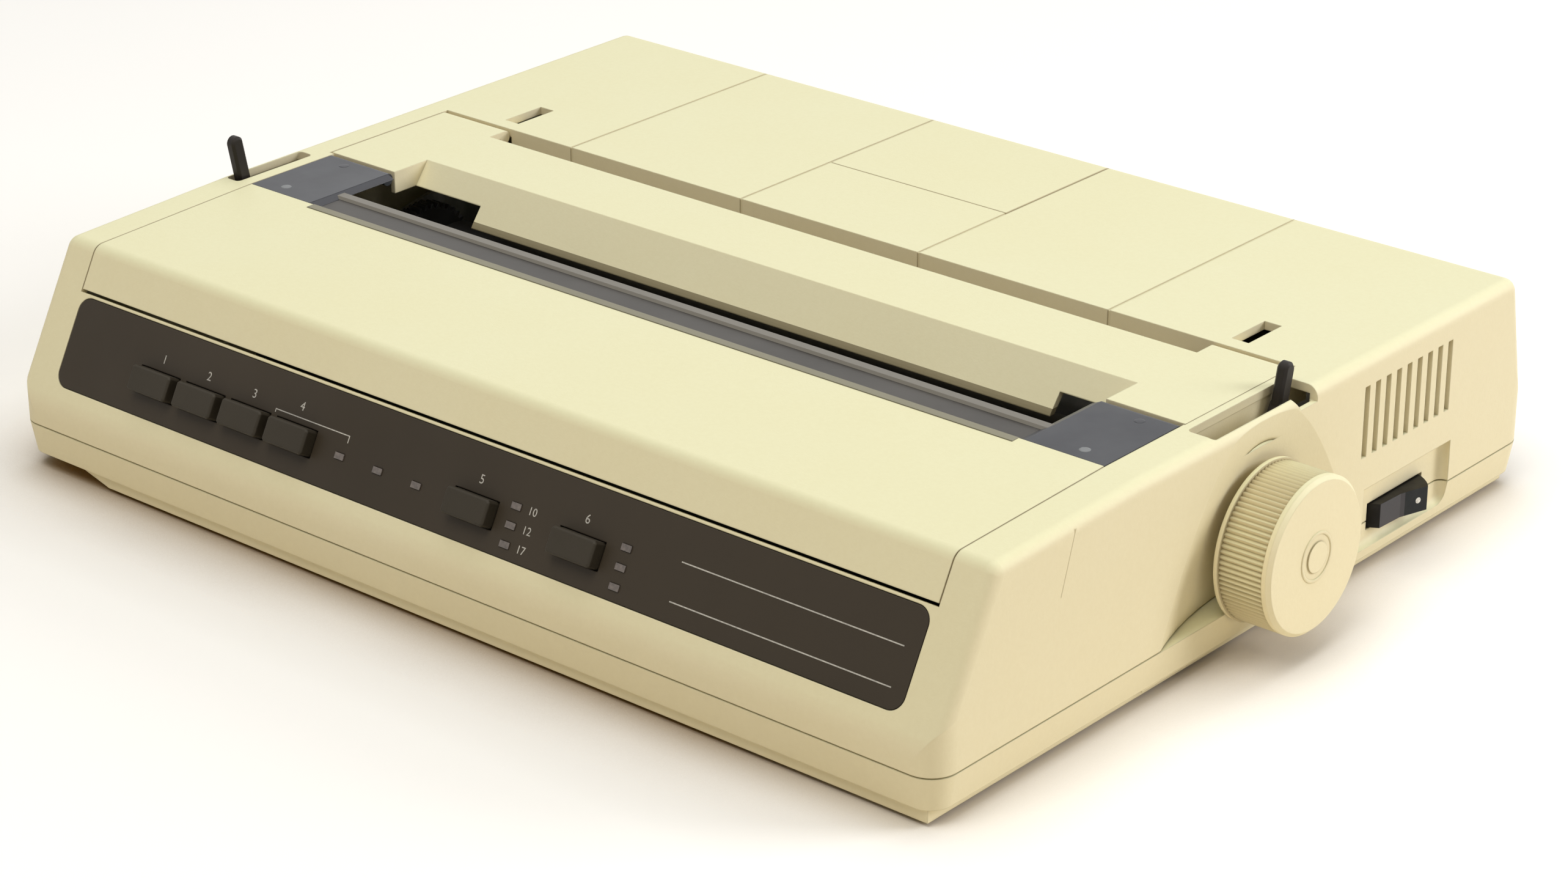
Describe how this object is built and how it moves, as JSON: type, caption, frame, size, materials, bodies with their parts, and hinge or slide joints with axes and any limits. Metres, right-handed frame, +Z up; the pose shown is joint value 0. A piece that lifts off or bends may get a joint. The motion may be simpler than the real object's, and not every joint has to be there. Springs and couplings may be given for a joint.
{
  "type": "dot matrix printer",
  "caption": "Desktop dot matrix printer with a hinged access cover, smoked window, paper separator, ribbed platen knob, control keys, levers and a power rocker.",
  "frame": {"origin": "on the table under the middle of the whole machine, its platen knob and levers included", "axes": "+X to the right towards the platen knob, +Y to the back, +Z up; the control panel faces -Y"},
  "size_m": [0.3602, 0.2742, 0.0801],
  "materials": {
    "case": "aged cream moulded plastic with a fine mould texture",
    "panel": "dark brown printed panel film, satin",
    "buttons": "dark olive brown key caps, satin",
    "smoke": "smoked transparent plastic, dark blue grey",
    "lens": "unlit lamp lens, clear dull plastic",
    "feet": "soft black rubber",
    "steel": "zinc plated sheet steel",
    "bright_steel": "ground bright steel",
    "board": "green glass-filled laminate",
    "nylon": "natural white nylon",
    "nylon_dark": "black acetal",
    "motor_case": "black lacquered steel can",
    "platen_rubber": "ground black platen rubber",
    "roller_rubber": "black moulded rubber",
    "black_plastic": "black moulded plastic",
    "head_metal": "finned cast aluminium",
    "cartridge": "black moulded plastic",
    "components": "black component bodies",
    "transformer": "varnished steel laminations",
    "connector": "blue moulded connector body"
  },
  "bodies": {
    "case": {"base_pan": "case", "board_components": "components", "carriage_motor": "motor_case", "case_screws": "steel", "control_panel": "panel", "drive_belt": "roller_rubber", "feed_motor": "motor_case", "guide_rail": "steel", "guide_shaft": "bright_steel", "indicator_lenses": "lens", "interface_connector": "connector", "left_side_frame": "steel", "main_board": "board", "panel_board": "board", "paper_chute": "steel", "platen_bushes": "nylon", "power_inlet": "black_plastic", "rear_hatch": "case", "right_side_frame": "steel", "rubber_feet": "feet", "switch_body": "black_plastic", "tension_bracket": "steel", "transformer": "transformer", "upper_case": "case"},
    "cover": {"access_cover": "case", "smoke_window": "smoke"},
    "separator": {"paper_separator": "case"},
    "platen": {"platen_shaft": "bright_steel", "platen_roller": "platen_rubber", "platen_knob": "case", "platen_gear": "nylon"},
    "idler": {"idler_gear": "nylon"},
    "pinion": {"feed_pinion": "nylon_dark"},
    "release": {"release_lever": "black_plastic"},
    "pressure_bar": {"pressure_carrier": "steel"},
    "pressure_rolls": {"pressure_rollers": "roller_rubber"},
    "bail": {"bail_arms": "bright_steel", "bail_lever": "black_plastic"},
    "bail_rolls": {"bail_rollers": "roller_rubber"},
    "carriage": {"carriage": "black_plastic", "print_head": "head_metal", "ribbon_cartridge": "cartridge"},
    "drive_wheel": {"drive_pulley": "nylon_dark"},
    "tension_wheel": {"tension_pulley": "nylon_dark"},
    "rocker": {"power_rocker": "black_plastic"},
    "key_1": {"button_1": "buttons"},
    "key_2": {"button_2": "buttons"},
    "key_3": {"button_3": "buttons"},
    "key_4": {"button_4": "buttons"},
    "key_5": {"button_5": "buttons"},
    "key_6": {"button_6": "buttons"}
  },
  "joints": [
    {"name": "cover_hinge", "type": "hinge", "parent": "case", "child": "cover", "pos_m": [-0.0089, -0.0209, 0.0649], "axis": [-1, 0, 0], "range_deg": [0, 80]},
    {"name": "separator_hinge", "type": "hinge", "parent": "case", "child": "separator", "pos_m": [-0.0089, 0.0298, 0.0646], "axis": [-1, 0, 0], "range_deg": [0, 85]},
    {"name": "platen_turn", "type": "hinge", "parent": "case", "child": "platen", "pos_m": [-0.0089, 0.0007, 0.031], "axis": [1, 0, 0], "continuous": true},
    {"name": "idler_turn", "type": "hinge", "parent": "case", "child": "idler", "pos_m": [-0.1499, 0.02941, 0.02331], "axis": [1, 0, 0], "continuous": true},
    {"name": "pinion_turn", "type": "hinge", "parent": "case", "child": "pinion", "pos_m": [-0.1499, 0.04531, 0.02909], "axis": [1, 0, 0], "continuous": true},
    {"name": "release_turn", "type": "hinge", "parent": "case", "child": "release", "pos_m": [0.1401, 0.0007, 0.031], "axis": [1, 0, 0], "range_deg": [0, 48]},
    {"name": "pressure_lift", "type": "hinge", "parent": "case", "child": "pressure_bar", "pos_m": [-0.0089, 0.0149, 0.011], "axis": [1, 0, 0], "range_deg": [0, 4.8]},
    {"name": "pressure_spin", "type": "hinge", "parent": "pressure_bar", "child": "pressure_rolls", "pos_m": [-0.0089, 0.0007, 0.01185], "axis": [1, 0, 0], "continuous": true},
    {"name": "bail_swing", "type": "hinge", "parent": "case", "child": "bail", "pos_m": [-0.0089, -0.0311, 0.024], "axis": [-1, 0, 0], "range_deg": [0, 31.5]},
    {"name": "bail_roll", "type": "hinge", "parent": "bail", "child": "bail_rolls", "pos_m": [-0.0089, -0.02642, 0.05287], "axis": [1, 0, 0], "continuous": true},
    {"name": "carriage_slide", "type": "slide", "parent": "case", "child": "carriage", "axis": [1, 0, 0], "range_m": [0, 0.2]},
    {"name": "drive_pulley_turn", "type": "hinge", "parent": "case", "child": "drive_wheel", "pos_m": [0.1171, -0.0751, 0.032], "axis": [0, 0, -1], "continuous": true},
    {"name": "tension_pulley_turn", "type": "hinge", "parent": "case", "child": "tension_wheel", "pos_m": [-0.1309, -0.0751, 0.032], "axis": [0, 0, -1], "continuous": true},
    {"name": "power_rock", "type": "hinge", "parent": "case", "child": "rocker", "pos_m": [0.1541, 0.0717, 0.016], "axis": [0, 0, 1], "range_deg": [0, 20.4]},
    {"name": "button_1_press", "type": "slide", "parent": "case", "child": "key_1", "axis": [0, 0.8818, -0.4717], "range_m": [0, 0.002], "stiffness_N_per_m": 300},
    {"name": "button_2_press", "type": "slide", "parent": "case", "child": "key_2", "axis": [0, 0.8818, -0.4717], "range_m": [0, 0.002], "stiffness_N_per_m": 300},
    {"name": "button_3_press", "type": "slide", "parent": "case", "child": "key_3", "axis": [0, 0.8818, -0.4717], "range_m": [0, 0.002], "stiffness_N_per_m": 300},
    {"name": "button_4_press", "type": "slide", "parent": "case", "child": "key_4", "axis": [0, 0.8818, -0.4717], "range_m": [0, 0.002], "stiffness_N_per_m": 300},
    {"name": "button_5_press", "type": "slide", "parent": "case", "child": "key_5", "axis": [0, 0.8818, -0.4717], "range_m": [0, 0.002], "stiffness_N_per_m": 300},
    {"name": "button_6_press", "type": "slide", "parent": "case", "child": "key_6", "axis": [0, 0.8818, -0.4717], "range_m": [0, 0.002], "stiffness_N_per_m": 300}
  ],
  "couplings": [
    {"joint": "idler_turn", "follows": "platen_turn", "ratio": -1.4667},
    {"joint": "pinion_turn", "follows": "platen_turn", "ratio": 3.6667},
    {"joint": "pressure_spin", "follows": "platen_turn", "ratio": -3.9474},
    {"joint": "pressure_lift", "follows": "release_turn", "ratio": 0.1},
    {"joint": "drive_pulley_turn", "follows": "carriage_slide", "rad_per_m": 116.28},
    {"joint": "tension_pulley_turn", "follows": "carriage_slide", "rad_per_m": 116.28}
  ]
}
